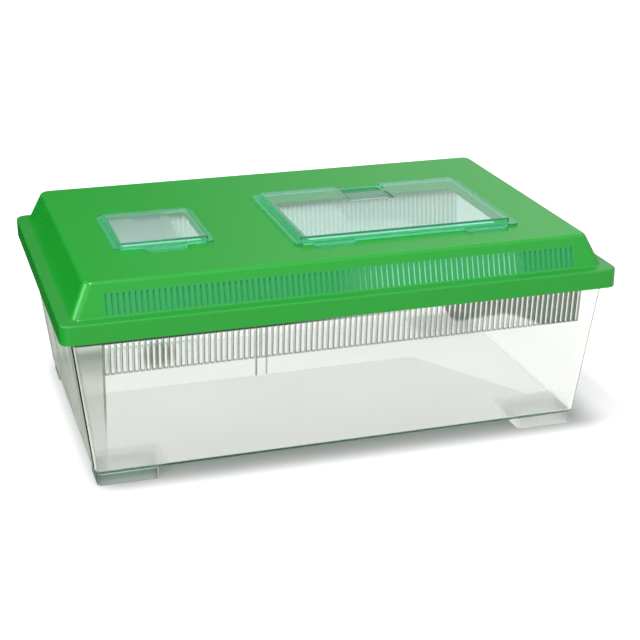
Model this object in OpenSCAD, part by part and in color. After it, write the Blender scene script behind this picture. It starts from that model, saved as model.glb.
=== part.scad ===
/* [Overall] */
// Width over the lid's skirt, left to right
keeper_w = 460; // [430:1:520]
// Depth over the lid's skirt, front to back
keeper_d = 296; // [286:1:340]

/* [Tub] */
// Height from the floor's underside to the top of the rim
tub_h = 133.5; // [90:0.5:200]
// Wall and floor thickness of the tub
tub_wall = 2.2; // [1.6:0.1:3]
// How far the end walls lean out between the floor and the rim
tub_lean_x = 15.3; // [5:0.1:20]
// How far the long walls lean out between the floor and the rim
tub_lean_y = 12.7; // [5:0.1:20]
// Radius of the tub's upright corners
tub_corner_r = 6; // [5.5:0.5:10]
// Radius of the edge between the walls and the floor
tub_edge_r = 3; // [2:0.5:4]
// How far the rim stands out from the wall
rim_out = 4.5; // [3:0.1:6]
// Thickness of the rim
rim_t = 2.2; // [1.5:0.1:4]

/* [Feet] */
// Height of the feet below the floor
foot_h = 10; // [4:0.5:20]
// Width of a foot along the front
foot_w = 50; // [30:1:80]
// Depth of a foot
foot_d = 34; // [24:1:60]
// Distance from the floor's edge in to the foot
foot_inset = 1.5; // [1:0.1:6]
// Radius of a foot's corners
foot_corner_r = 4; // [3:0.5:8]

/* [Ribs on the tub] */
// Distance between neighbouring ribs
rib_pitch = 4.58; // [3.5:0.01:8]
// Width of a rib where it meets the wall
rib_w = 2.8; // [1.5:0.1:3.4]
// How far a rib stands out from the wall
rib_out = 0.8; // [0.4:0.1:1.5]
// Height from the floor's underside to the foot of the ribs
rib_start = 88.5; // [40:0.5:90]
// Space between the keeper's side and the first rib
rib_margin = 33; // [28:1:80]
// Distance of the rib band's middle right of the tub's middle
rib_shift = 2; // [0:0.5:4]

/* [Front bar on the tub] */
// Width of the flat bar
bar_w = 8.4; // [5:0.1:15]
// Distance of the bar left of the tub's middle
bar_left = 72.8; // [30:0.1:120]
// Height from the floor's underside to the foot of the bar
bar_start = 73; // [30:0.5:74]

/* [Lid] */
// Wall thickness of the lid
lid_wall = 2.2; // [1.6:0.1:2.4]
// Height of the skirt
skirt_h = 16; // [12:0.5:24]
// Radius of the skirt's upright corners
skirt_corner_r = 9; // [8:0.5:16]
// Radius of the edge on top of the skirt
skirt_edge_r = 1.5; // [1:0.1:3]
// Width of the flat ledge round the slopes
ledge_w = 9.8; // [8:0.1:14]
// Height of the slopes
slope_h = 26.6; // [22:0.1:36]
// How far the end slopes lean in
slope_lean_x = 12.4; // [6:0.1:18]
// How far the long slopes lean in
slope_lean_y = 8; // [4:0.1:12]
// Corner radius of the slopes
slope_corner_r = 7; // [6:0.5:12]
// Radius of the edge round the top
top_edge_r = 1.8; // [1:0.1:2]

/* [Air slots in the lid] */
// Distance between neighbouring slots
slot_pitch = 4.58; // [3.5:0.01:8]
// Width of a slot
slot_w = 2; // [1:0.1:2.6]
// Height of the slots
slot_h = 16.4; // [8:0.1:17]
// Height of the slots' lower ends above the ledge
slot_start = 1.2; // [0.4:0.1:3]
// Space between the keeper's side and the first slot
slot_margin = 37.5; // [35:0.5:80]

/* [Large hatch] */
// Width of the raised cover
large_w = 183; // [160:1:190]
// Depth of the raised cover
large_d = 135; // [128:1:145]
// Distance of the cover's middle from the keeper's right side
large_side = 163.5; // [158:0.5:168]
// Distance of the cover's middle in front of the lid's middle
large_front = 18.5; // [16:0.5:24]
// Width of the flange round the cover
large_flange = 6.3; // [4:0.1:8]
// Height of the cover above the flange's underside
large_h = 5.2; // [4.5:0.1:9]
// Distance from the cover's side in to the doorway
large_inset_side = 8; // [6:0.5:12]
// Distance from the cover's front in to the doorway
large_inset_front = 7; // [5:0.5:12]
// Distance from the cover's back in to the doorway
large_inset_back = 23; // [20:0.5:30]
// Distance of a hinge lug's middle from the cover's middle
large_lug_x = 65.5; // [40:0.5:68]

/* [Finger hole and latch] */
// Width of the finger hole
finger_w = 41; // [34:0.5:60]
// Depth of the finger hole
finger_d = 17; // [12:0.5:20]
// Distance from the cover's back in to the finger hole
finger_inset = 4; // [2.5:0.5:6]
// Corner radius of the finger hole
finger_r = 3; // [1:0.5:5]
// Width of the latch tongue
latch_w = 33; // [20:0.5:34]
// Length of the latch tongue
latch_l = 22.5; // [16:0.5:30]
// Width of the slot along the tongue's left side
latch_gap_left = 1; // [0.6:0.1:3]
// Width of the slot along the tongue's right side
latch_gap_right = 5.5; // [1:0.1:6]
// Height of the grip ridges on the tongue
grip_h = 0.5; // [0.3:0.1:1]
// Thickness of the latch's hook
hook_t = 1.8; // [1.2:0.1:2.4]
// How far the hook reaches below the lid's top
hook_drop = 4.5; // [3.5:0.1:8]

/* [Small hatch] */
// Width of the raised cover
small_w = 74; // [60:1:80]
// Depth of the raised cover
small_d = 84; // [60:1:100]
// Distance of the cover's middle from the keeper's left side
small_side = 98; // [90:0.5:104]
// Distance of the cover's middle in front of the lid's middle
small_front = 16; // [8:0.5:24]
// Width of the flange round the cover
small_flange = 4.5; // [3:0.1:6]
// Height of the cover above the flange's underside
small_h = 4.6; // [4:0.1:8]
// Distance from the cover's edges in to the doorway
small_inset = 4; // [3:0.5:8]
// Width of the catch rib below the cover
catch_w = 24; // [12:1:40]

/* [Hatch mouldings and hinges] */
// Wall thickness of the hatches
hatch_wall = 1.8; // [1.2:0.1:2.2]
// Thickness of the flanges
flange_t = 1.6; // [1.2:0.1:1.6]
// Corner radius of the raised covers
cover_r = 3; // [2.5:0.5:6]
// Width of a hinge lug
lug_w = 35; // [20:0.5:40]
// Radius of a hinge lug's barrel
barrel_r = 2.2; // [2:0.1:2.4]
// Radius of the hinge pins
pin_r = 1.2; // [1:0.05:1.3]
// Length of a hinge pin
pin_l = 2.8; // [2:0.1:3]
// Depth of the hinge pins' axis below the lid's top
hinge_sink = 2.6; // [2.6:0.05:3]
// Distance from the hinge pins' axis to the flange
hinge_reach = 5; // [4.8:0.1:7]

/* [Fits] */
// Gap between the rim's edge and the inside of the skirt
rim_fit = 0.4; // [0.2:0.05:1]
// Gap between the rim and the ledge, and between the lid and the hatches
seat_gap = 0.3; // [0.1:0.05:0.4]
// Radial running fit of the hinge pins
pin_fit = 0.08; // [0.02:0.01:0.1]
// Gap at the sides of a hinge lug
lug_gap = 0.4; // [0.3:0.05:1]
// Gap between a hinge lug's barrel and the floor of its pocket
barrel_gap = 0.5; // [0.3:0.05:0.8]
// Gap between a hook or catch and the edge of the doorway
catch_gap = 0.35; // [0.3:0.05:0.8]
// Gap round the latch tongue's root
latch_root_gap = 0.3; // [0.3:0.05:0.6]

/* [Hidden] */
$fn = 48;
hull_fn = 32;
film = 0.01;
over = 1;
lid_green = [0.27, 0.67, 0.28];
clear_mint = [0.80, 0.90, 0.86, 0.45];
clear_grey = [0.87, 0.90, 0.88, 0.40];

// Tub levels and sizes
rim_z = foot_h + tub_h;
rim_w = keeper_w - 2 * lid_wall - 2 * rim_fit;
rim_d = keeper_d - 2 * lid_wall - 2 * rim_fit;
floor_w = rim_w - 2 * rim_out - 2 * tub_lean_x;
floor_d = rim_d - 2 * rim_out - 2 * tub_lean_y;
rim_corner_r = skirt_corner_r - lid_wall;
foot_x = floor_w / 2 - foot_inset - foot_w / 2;
foot_y = floor_d / 2 - foot_inset - foot_d / 2;

// Ribs and bar, laid along the leaning long walls
wall_tilt_y = atan(tub_lean_y / tub_h);
rib_count = floor((keeper_w - 2 * rib_margin) / rib_pitch) + 1;
rib_l = (tub_h - rim_t / 2 - rib_start) / cos(wall_tilt_y);
rib_root = 0.8;
rib_flank = 0.5;
bar_l = (tub_h - rim_t / 2 - bar_start) / cos(wall_tilt_y);

// Lid levels and sizes
ledge_z = rim_z + seat_gap + lid_wall;
top_z = ledge_z + slope_h;
slope_w = keeper_w - 2 * ledge_w;
slope_d = keeper_d - 2 * ledge_w;
slope_wall_x = lid_wall / cos(atan(slope_lean_x / slope_h));
slope_wall_y = lid_wall / cos(atan(slope_lean_y / slope_h));
slot_count = floor((keeper_w - 2 * slot_margin) / slot_pitch) + 1;

// Hatch seats
hatch_z = top_z + seat_gap;
large_x = keeper_w / 2 - large_side;
large_y = -large_front;
small_x = small_side - keeper_w / 2;
small_y = -small_front;
large_axis_y = large_y - large_d / 2 - large_flange - hinge_reach;
small_axis_y = small_y - small_d / 2 - small_flange - hinge_reach;
axis_z = top_z - hinge_sink;
pocket_front = 6.5;
pocket_back = 3.5;
pocket_low = -barrel_r - barrel_gap;
tray_end = 3.5;
tray_wall = 1.6;

// Doorways: width, depth and middle
large_door_w = large_w - 2 * large_inset_side;
large_door_d = large_d - large_inset_front - large_inset_back;
large_door_y = large_y + (large_inset_front - large_inset_back) / 2;
large_door_back = large_door_y + large_door_d / 2;
small_door_w = small_w - 2 * small_inset;
small_door_d = small_d - 2 * small_inset;
door_r = 4;

// Latch tongue, whose free end lies at the back edge of the large doorway
latch_end_y = large_door_back - catch_gap;
latch_root_y = latch_end_y - latch_l;
latch_x = large_x - finger_w / 2 + latch_gap_left + latch_w / 2;
latch_z = hatch_z + large_h - hatch_wall / 2;
finger_y = large_y + large_d / 2 - finger_inset - finger_d / 2;
side_slot_l = latch_l + 2;
side_slot_y = latch_root_y + latch_l / 2 - 4;
strut_w = 1.4;
strut_l = side_slot_l + over;
strut_x = latch_x + latch_w / 2 + latch_gap_right / 2;
strut_y = side_slot_y;
grip_count = 3;
grip_w = 1.4;

// Width and depth of the tub's outside at a height above the floor's underside
function tub_w_at(h) = floor_w + 2 * tub_lean_x * h / tub_h;
function tub_d_at(h) = floor_d + 2 * tub_lean_y * h / tub_h;
// Width and depth of the slopes' outside at a height above the ledge
function slope_w_at(h) = slope_w - 2 * slope_lean_x * h / slope_h;
function slope_d_at(h) = slope_d - 2 * slope_lean_y * h / slope_h;

// Rectangle with round corners, centred
module rounded_rect(w, d, r) {
    square([w - 2 * r, d], center = true);
    square([w, d - 2 * r], center = true);
    for (sx = [-1, 1], sy = [-1, 1])
        translate([sx * (w / 2 - r), sy * (d / 2 - r)])
            circle(r = r);
}

// Plate with round upright edges, standing on z = 0
module slab(w, d, r, h) {
    linear_extrude(height = h)
        rounded_rect(w, d, r);
}

// Thin level of a hull, at height z
module level(w, d, r, z) {
    translate([0, 0, z])
        slab(w, d, r, film, $fn = hull_fn);
}

// Outside of the tub, from the floor's round edge to the rim
module tub_block() {
    inset = tub_edge_r * 0.7;
    hull() {
        level(floor_w - 2 * tub_edge_r, floor_d - 2 * tub_edge_r, tub_corner_r - 2, 0);
        level(tub_w_at(tub_edge_r * 0.3) - 2 * (tub_edge_r - inset),
              tub_d_at(tub_edge_r * 0.3) - 2 * (tub_edge_r - inset), tub_corner_r - 1, tub_edge_r * 0.3);
        level(tub_w_at(tub_edge_r), tub_d_at(tub_edge_r), tub_corner_r, tub_edge_r);
        level(tub_w_at(tub_h), tub_d_at(tub_h), tub_corner_r, tub_h - film);
    }
}

// Hollow of the tub, from the floor up past the rim
module tub_hollow() {
    edge = tub_edge_r - 1;
    hull() {
        level(tub_w_at(tub_wall) - 2 * (tub_wall + edge), tub_d_at(tub_wall) - 2 * (tub_wall + edge),
              tub_corner_r - tub_wall, tub_wall);
        level(tub_w_at(tub_wall + edge) - 2 * tub_wall, tub_d_at(tub_wall + edge) - 2 * tub_wall,
              tub_corner_r - tub_wall, tub_wall + edge);
        level(tub_w_at(tub_h + over) - 2 * tub_wall, tub_d_at(tub_h + over) - 2 * tub_wall,
              tub_corner_r - tub_wall, tub_h + over);
    }
}

module at_feet() {
    for (sx = [-1, 1], sy = [-1, 1])
        translate([sx * foot_x, sy * foot_y, 0])
            children();
}

// Upright ribs lying on the outside of the front wall
module rib_band() {
    first = -rib_pitch * (rib_count - 1) / 2 - rib_w / 2;
    teeth = [for (i = [0 : rib_count - 1]) let (x = first + i * rib_pitch) each [
        [x, 0],
        [x + rib_flank, -rib_out],
        [x + rib_w - rib_flank, -rib_out],
        [x + rib_w, 0]
    ]];
    last = first + (rib_count - 1) * rib_pitch + rib_w;
    on_front_wall(rib_start)
        translate([rib_shift, 0, 0])
            linear_extrude(height = rib_l)
                polygon(concat(teeth, [[last, rib_root], [first, rib_root]]));
}

// Flat bar between the ribs and the floor
module front_bar() {
    on_front_wall(bar_start)
        translate([-bar_left - bar_w / 2, -rib_out, 0])
            cube([bar_w, rib_out + rib_root, bar_l]);
}

// Places children on the front wall's outside, leaning with it, from a height above the floor's underside
module on_front_wall(h) {
    translate([0, -tub_d_at(h) / 2, h])
        rotate([wall_tilt_y, 0, 0])
            children();
}

module tub() {
    color(clear_grey)
        difference() {
            union() {
                at_feet()
                    slab(foot_w, foot_d, foot_corner_r, foot_h + over);
                translate([0, 0, foot_h]) {
                    tub_block();
                    rib_band();
                    mirror([0, 1, 0])
                        rib_band();
                    front_bar();
                    translate([0, 0, tub_h - rim_t])
                        slab(rim_w, rim_d, rim_corner_r, rim_t);
                }
            }
            translate([0, 0, foot_h])
                tub_hollow();
            at_feet()
                translate([0, 0, -over])
                    slab(foot_w - 2 * tub_wall, foot_d - 2 * tub_wall, foot_corner_r - tub_wall, foot_h + over);
        }
}

// Outside of the lid, from the skirt's foot to the top
module lid_block() {
    translate([0, 0, ledge_z - skirt_h])
        hull() {
            slab(keeper_w, keeper_d, skirt_corner_r, skirt_h - skirt_edge_r, $fn = hull_fn);
            level(keeper_w - 0.6 * skirt_edge_r, keeper_d - 0.6 * skirt_edge_r,
                  skirt_corner_r - 0.3 * skirt_edge_r, skirt_h - 0.3 * skirt_edge_r);
            level(keeper_w - 2 * skirt_edge_r, keeper_d - 2 * skirt_edge_r,
                  skirt_corner_r - skirt_edge_r, skirt_h - film);
        }
    translate([0, 0, ledge_z])
        hull() {
            level(slope_w_at(-lid_wall / 2), slope_d_at(-lid_wall / 2), slope_corner_r, -lid_wall / 2);
            level(slope_w_at(slope_h - top_edge_r), slope_d_at(slope_h - top_edge_r),
                  slope_corner_r, slope_h - top_edge_r);
            level(slope_w_at(slope_h) - 0.6 * top_edge_r, slope_d_at(slope_h) - 0.6 * top_edge_r,
                  slope_corner_r, slope_h - 0.3 * top_edge_r);
            level(slope_w_at(slope_h) - 2 * top_edge_r, slope_d_at(slope_h) - 2 * top_edge_r,
                  slope_corner_r - top_edge_r, slope_h - film);
        }
}

// Hollow under the lid
module lid_hollow() {
    inner_r = slope_corner_r - lid_wall;
    low = -lid_wall - over;
    high = slope_h - lid_wall;
    translate([0, 0, ledge_z - skirt_h - over])
        slab(keeper_w - 2 * lid_wall, keeper_d - 2 * lid_wall, rim_corner_r, skirt_h - lid_wall + over);
    translate([0, 0, ledge_z])
        hull() {
            level(slope_w_at(low) - 2 * slope_wall_x, slope_d_at(low) - 2 * slope_wall_y, inner_r, low);
            level(slope_w_at(high) - 2 * slope_wall_x, slope_d_at(high) - 2 * slope_wall_y, inner_r, high - film);
        }
}

// Closed tray below the lid's top, round one lug, whose two ends carry the pins
module hinge_tray() {
    tray_w = lug_w + 2 * lug_gap + 2 * tray_end;
    tray_low = pocket_low - tray_wall;
    translate([-tray_w / 2, -pocket_front - tray_wall, tray_low])
        cube([tray_w, pocket_front + pocket_back + 2 * tray_wall, hinge_sink - lid_wall / 2 - tray_low]);
}

// Pocket inside the tray and the bores in its ends
module hinge_pocket() {
    pocket_w = lug_w + 2 * lug_gap;
    pin_span = pocket_w + 2 * tray_end + 2 * over;
    translate([-pocket_w / 2, -pocket_front, pocket_low])
        cube([pocket_w, pocket_front + pocket_back, hinge_sink + over - pocket_low]);
    translate([-pin_span / 2, 0, 0])
        rotate([0, 90, 0])
            cylinder(r = pin_r + pin_fit, h = pin_span);
}

module at_hinges() {
    for (s = [-1, 1])
        translate([large_x + s * large_lug_x, large_axis_y, axis_z])
            children();
    translate([small_x, small_axis_y, axis_z])
        children();
}

module air_slots() {
    for (i = [0 : slot_count - 1])
        translate([(i - (slot_count - 1) / 2) * slot_pitch, 0, ledge_z + slot_start + slot_h / 2])
            cube([slot_w, keeper_d, slot_h], center = true);
}

module doorways() {
    depth = lid_wall + 2 * over;
    translate([large_x, large_door_y, top_z - lid_wall - over])
        slab(large_door_w, large_door_d, door_r, depth);
    translate([small_x, small_y, top_z - lid_wall - over])
        slab(small_door_w, small_door_d, door_r, depth);
}

module lid() {
    color(lid_green)
        difference() {
            union() {
                difference() {
                    lid_block();
                    lid_hollow();
                }
                at_hinges()
                    hinge_tray();
            }
            air_slots();
            doorways();
            at_hinges()
                hinge_pocket();
        }
}

// Raised cover with a flange, open below, standing on z = 0
module cover(w, d, h, flange) {
    difference() {
        union() {
            slab(w + 2 * flange, d + 2 * flange, cover_r + flange / 2, flange_t);
            slab(w, d, cover_r, h);
        }
        translate([0, 0, -over])
            slab(w - 2 * hatch_wall, d - 2 * hatch_wall, cover_r - hatch_wall, h - hatch_wall + over);
    }
}

// Lug with its barrel and two pins, with the hinge axis along X through the origin
module hinge_lug() {
    flange_low = hinge_sink + seat_gap;
    flange_high = flange_low + flange_t;
    side = 0.6 * barrel_r;
    rise = 0.78 * barrel_r;
    rotate([90, 0, 90])
        translate([0, 0, -lug_w / 2])
            linear_extrude(height = lug_w)
                polygon([[-side, rise], [side * 1.4, flange_high], [hinge_reach + over / 2, flange_high],
                         [hinge_reach + over / 2, flange_low], [side * 2, flange_low], [side, rise], [0, 0]]);
    translate([-lug_w / 2, 0, 0])
        rotate([0, 90, 0])
            cylinder(r = barrel_r, h = lug_w);
    translate([-lug_w / 2 - pin_l, 0, 0])
        rotate([0, 90, 0])
            cylinder(r = pin_r, h = lug_w + 2 * pin_l);
}

// Finger hole with the slots round the latch tongue, cut through the large cover's top
module finger_cut() {
    depth = hatch_wall + 2 * over;
    slot_root = latch_root_y - hatch_wall / 2 - latch_root_gap;
    slot_end = finger_y - finger_d / 2 + finger_r;
    slot_left = latch_x - latch_w / 2 - latch_gap_left;
    translate([0, 0, hatch_z + large_h - hatch_wall - over]) {
        translate([large_x, finger_y, 0])
            slab(finger_w, finger_d, finger_r, depth);
        translate([slot_left, slot_root, 0])
            cube([latch_w + 2 * latch_gap_left, slot_end - slot_root, depth]);
        translate([latch_x + latch_w / 2, side_slot_y - side_slot_l / 2, 0])
            cube([latch_gap_right, side_slot_l, depth]);
    }
}

module large_hatch() {
    color(clear_mint)
        union() {
            difference() {
                translate([large_x, large_y, hatch_z])
                    cover(large_w, large_d, large_h, large_flange);
                finger_cut();
            }
            translate([strut_x - strut_w / 2, strut_y - strut_l / 2, hatch_z + large_h - hatch_wall])
                cube([strut_w, strut_l, hatch_wall]);
            for (s = [-1, 1])
                translate([large_x + s * large_lug_x, large_axis_y, axis_z])
                    hinge_lug();
        }
}

// Tongue that turns about its root, with its hook at the doorway's back edge
module large_hatch_latch() {
    root_r = hatch_wall / 2;
    hook_low = top_z - hook_drop;
    grip_step = latch_l / (grip_count + 1);
    color(clear_mint)
        union() {
            translate([latch_x - latch_w / 2, latch_root_y, latch_z])
                rotate([0, 90, 0])
                    cylinder(r = root_r, h = latch_w);
            translate([latch_x - latch_w / 2, latch_root_y, latch_z - root_r])
                cube([latch_w, latch_l, hatch_wall]);
            translate([latch_x - latch_w / 2, latch_end_y - hook_t, hook_low])
                cube([latch_w, hook_t, latch_z - hook_low]);
            for (i = [1 : grip_count])
                translate([latch_x - latch_w / 2 + grip_w, latch_root_y + i * grip_step - grip_w / 2, latch_z])
                    cube([latch_w - 2 * grip_w, grip_w, root_r + grip_h]);
        }
}

module small_hatch() {
    catch_low = top_z - hook_drop;
    catch_back = small_y + small_door_d / 2 - catch_gap;
    color(clear_mint)
        union() {
            translate([small_x, small_y, hatch_z])
                cover(small_w, small_d, small_h, small_flange);
            translate([small_x - catch_w / 2, catch_back - hatch_wall, catch_low])
                cube([catch_w, hatch_wall, hatch_z + small_h - hatch_wall / 2 - catch_low]);
            translate([small_x, small_axis_y, axis_z])
                hinge_lug();
        }
}

tub();
lid();
large_hatch();
large_hatch_latch();
small_hatch();
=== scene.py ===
import math

import bmesh
import bpy
from mathutils import Matrix, Vector


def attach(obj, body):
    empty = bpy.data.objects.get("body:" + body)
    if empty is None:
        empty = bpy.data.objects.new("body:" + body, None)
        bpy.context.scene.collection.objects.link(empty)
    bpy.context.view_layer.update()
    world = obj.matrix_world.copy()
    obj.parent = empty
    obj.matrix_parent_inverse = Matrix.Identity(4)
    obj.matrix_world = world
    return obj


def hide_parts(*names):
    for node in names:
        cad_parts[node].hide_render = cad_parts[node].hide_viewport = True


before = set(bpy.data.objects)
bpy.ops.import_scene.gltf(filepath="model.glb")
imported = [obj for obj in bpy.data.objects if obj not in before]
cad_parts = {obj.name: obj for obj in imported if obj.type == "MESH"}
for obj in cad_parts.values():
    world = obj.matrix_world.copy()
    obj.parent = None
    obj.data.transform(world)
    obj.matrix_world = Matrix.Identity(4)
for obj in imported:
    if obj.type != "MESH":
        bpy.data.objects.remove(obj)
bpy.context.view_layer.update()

MM = 0.001

# Sizes in millimetres, as on the construction
KEEPER_W, KEEPER_D = 460, 296
FLOOR_W, FLOOR_D = 415.2, 256.4
TUB_LEAN_X, TUB_LEAN_Y = 15.3, 12.7
TUB_H, TUB_WALL, TUB_CORNER_R = 133.5, 2.2, 6
RIM_W, RIM_D, RIM_T, RIM_CORNER_R = 454.8, 290.8, 2.2, 6.8
FOOT_H, FOOT_W, FOOT_D, FOOT_INSET, FOOT_CORNER_R = 10, 50, 34, 1.5, 4
RIB_PITCH, RIB_W, RIB_OUT, RIB_START, RIB_COUNT, RIB_SHIFT = 4.58, 2.8, 0.8, 88.5, 87, 2
BAR_W, BAR_LEFT, BAR_START = 8.4, 72.8, 73
PANEL_W, PANEL_LEFT, PANEL_START = 1.2, 197.4, 33
LID_WALL, SKIRT_H, SKIRT_CORNER_R = 2.2, 16, 9
LEDGE_W, LEDGE_Z, TOP_Z = 9.8, 146, 172.6
SLOPE_LEAN_X, SLOPE_LEAN_Y, SLOPE_CORNER_R = 12.4, 8, 7
SLOT_PITCH, SLOT_W, SLOT_H, SLOT_START, SLOT_COUNT = 4.58, 2, 16.4, 1.2, 85
SLOT_THROAT, SLOT_SLANT = 0.3, 1.1
SEAT_GAP = 0.3
HATCH_Z = TOP_Z + SEAT_GAP
HATCH_WALL, FLANGE_T, COVER_R = 1.8, 1.6, 3
LARGE = {"x": 66.5, "y": -18.5, "w": 183, "d": 135, "flange": 6.3, "h": 5.2, "lugs": (-65.5, 65.5)}
SMALL = {"x": -132, "y": -16, "w": 74, "d": 84, "flange": 4.5, "h": 4.6, "lugs": (0,)}
LARGE_DOOR = {"x": 66.5, "y": -26.5, "w": 167, "d": 105}
SMALL_DOOR = {"x": -132, "y": -16, "w": 66, "d": 76}
DOOR_R = 4
LUG_W, LUG_GAP, BARREL_R, PIN_R, PIN_L, PIN_FIT = 35, 0.4, 2.2, 1.2, 2.8, 0.08
HINGE_SINK, HINGE_REACH = 2.6, 5
POCKET_FRONT, POCKET_BACK, TRAY_END, TRAY_WALL, BARREL_GAP = 6.5, 3.5, 3.5, 1.6, 0.5
FINGER = {"x": 66.5, "y": 36.5, "w": 41, "d": 17, "r": 3}
LATCH_X, LATCH_W, LATCH_L, LATCH_END_Y, LATCH_Z = 63.5, 33, 22.5, 25.65, 177.2
LATCH_GAP_LEFT, LATCH_GAP_RIGHT, LATCH_ROOT_GAP = 1, 5.5, 0.3
HOOK_T, HOOK_DROP, CATCH_W, CATCH_GAP = 1.8, 4.5, 24, 0.35
GRIP_COUNT, GRIP_W, GRIP_H = 3, 1.4, 0.5

# Sizes in millimetres of the finer detail; OVER is how far a tool reaches past what it cuts,
# and how far a raised part reaches into what carries it
OVER = 1
FLOOR_EDGE_R, FLOOR_INNER_R, FOOT_EDGE_R = 3, 2, 0.8
RIB_CORNER_R, RIB_EDGE_R = RIB_W / 2 - 0.05, 0.6
UPRIGHT_OUT, UPRIGHT_CORNER_R, UPRIGHT_EDGE_R = RIB_OUT + 0.05, 0.5, 0.4
TOP_EDGE_R, SLOPE_FOOT_R, SKIRT_EDGE_R = 2.4, 1.2, 1.8
SLOT_DEPTH, SLOT_MOUTH, SLOT_R, SLOT_FLOOR_R, SLOT_TAPER = 1.1, 0.1, 0.7, 0.5, 0.5
THROAT_SHORTER, THROAT_R = 1.5, SLOT_THROAT * 0.4
COVER_EDGE_R, COVER_FOOT_R, COVER_INNER_R, FLANGE_EDGE_R = 0.9, 0.5, 0.6, 0.4
ARM_OVERLAP, NOTCH_OVERLAP, NOTCH_RIM = 0.5, 2, 1.5
SIDE_SLOT_LONGER, SIDE_SLOT_SHIFT, STRUT_W, STRUT_OVERLAP = 2, 4, 1.4, 0.5
BODY_EDGE_R, HATCH_EDGE_R = 0.25, 0.2

STANDING = Matrix.Rotation(math.pi / 2, 3, "X")


# ---------------------------------------------------------------- mesh tools

def plate(w, d, r, z, arc):
    """A new bmesh with one flat face that has round corners."""
    bm = bmesh.new()
    signs = ((-1, -1), (1, -1), (1, 1), (-1, 1))
    bm.faces.new([bm.verts.new((sx * w / 2, sy * d / 2, z)) for sx, sy in signs])
    bmesh.ops.bevel(bm, geom=bm.verts[:], offset=r, offset_type="OFFSET", segments=arc,
                    profile=0.5, affect="VERTICES", material=-1)
    return bm


def loft(levels, arc=8):
    """A closed solid through rounded rectangles (width, depth, corner radius, height), lowest first."""
    bm = plate(*levels[0], arc)
    bm.faces.ensure_lookup_table()
    bottom = top = bm.faces[0]
    for (w, d, r, _), (new_w, new_d, new_r, new_z) in zip(levels, levels[1:]):
        made = bmesh.ops.extrude_face_region(bm, geom=[top])["geom"]
        if top is not bottom:
            bmesh.ops.delete(bm, geom=[top], context="FACES_ONLY")
        top = next(g for g in made if isinstance(g, bmesh.types.BMFace))
        for v in top.verts:
            past_x = abs(v.co.x) - (w / 2 - r)
            past_y = abs(v.co.y) - (d / 2 - r)
            v.co.x = math.copysign(new_w / 2 - new_r + past_x * new_r / r, v.co.x)
            v.co.y = math.copysign(new_d / 2 - new_r + past_y * new_r / r, v.co.y)
            v.co.z = new_z
    bmesh.ops.recalc_face_normals(bm, faces=bm.faces[:])
    return bm


def prism(w, d, r, low, high, arc=5):
    """A closed upright solid of one outline, between two heights."""
    return loft([(w, d, r, low), (w, d, r, high)], arc)


def crown(w, d, r, z, radius, steps=3):
    """The levels of a rounded upper edge that ends at a height."""
    levels = []
    for i in range(steps + 1):
        turn = math.pi / 2 * i / steps
        cut = radius * (1 - math.cos(turn))
        levels.append((w - 2 * cut, d - 2 * cut, r - cut, z - radius + radius * math.sin(turn)))
    return levels


def soften(bm, z, radius, segments=3, outer=None):
    """Rounds the level edges at a height: all, only the widest loop (outer=True) or only the rest (False)."""
    near, least_angle = 1e-4, 0.2
    edges = [e for e in bm.edges if all(abs(v.co.z - z) < near for v in e.verts)
             and len(e.link_faces) == 2 and e.calc_face_angle(0) > least_angle]
    if outer is not None:
        reach = max(abs(v.co.x) for e in edges for v in e.verts)
        wide = {e for e in edges if loop_reach(e, edges) > reach - near}
        edges = [e for e in edges if (e in wide) == outer]
    bmesh.ops.bevel(bm, geom=edges, offset=radius, offset_type="OFFSET", segments=segments,
                    profile=0.5, affect="EDGES", material=-1)


def loop_reach(edge, edges):
    """The half width of the closed loop that an edge belongs to."""
    left, found, edges = [edge], set(), set(edges)
    while left:
        e = left.pop()
        if e in found:
            continue
        found.add(e)
        left.extend(n for v in e.verts for n in v.link_edges if n in edges and n not in found)
    return max(abs(v.co.x) for e in found for v in e.verts)


def block(lo, hi):
    """A closed box between two corners."""
    bm = bmesh.new()
    bmesh.ops.create_cube(bm, size=1)
    bmesh.ops.scale(bm, vec=Vector(hi) - Vector(lo), verts=bm.verts[:])
    bmesh.ops.translate(bm, vec=(Vector(hi) + Vector(lo)) / 2, verts=bm.verts[:])
    return bm


def rod(radius, length, centre, segments=24):
    """A closed cylinder along X."""
    bm = bmesh.new()
    bmesh.ops.create_cone(bm, cap_ends=True, segments=segments, radius1=radius, radius2=radius, depth=length)
    bmesh.ops.rotate(bm, matrix=Matrix.Rotation(math.pi / 2, 3, "Y"), verts=bm.verts[:])
    bmesh.ops.translate(bm, vec=centre, verts=bm.verts[:])
    return bm


def moved(bm, x, y, z=0, turn=None):
    """Turns a solid about the origin, where a turn is given, and then moves it."""
    if turn is not None:
        bmesh.ops.rotate(bm, matrix=turn, verts=bm.verts[:])
    bmesh.ops.translate(bm, vec=(x, y, z), verts=bm.verts[:])
    return bm


def mirrored(bm):
    """Takes a solid from the front to the same place at the back."""
    bmesh.ops.scale(bm, vec=(1, -1, 1), verts=bm.verts[:])
    bmesh.ops.reverse_faces(bm, faces=bm.faces[:])
    return bm


def joined(parts):
    """One bmesh from several, which are used up."""
    whole = bmesh.new()
    for bm in parts:
        mesh = bpy.data.meshes.new("part")
        bm.to_mesh(mesh)
        bm.free()
        whole.from_mesh(mesh)
        bpy.data.meshes.remove(mesh)
    return whole


def as_object(bm, name):
    """An object in the scene from a bmesh, which is used up."""
    mesh = bpy.data.meshes.new(name)
    bm.to_mesh(mesh)
    bm.free()
    obj = bpy.data.objects.new(name, mesh)
    bpy.context.scene.collection.objects.link(obj)
    return obj


def remove(obj):
    """Takes an object and its mesh out of the file."""
    mesh = obj.data
    bpy.data.objects.remove(obj)
    bpy.data.meshes.remove(mesh)


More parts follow.
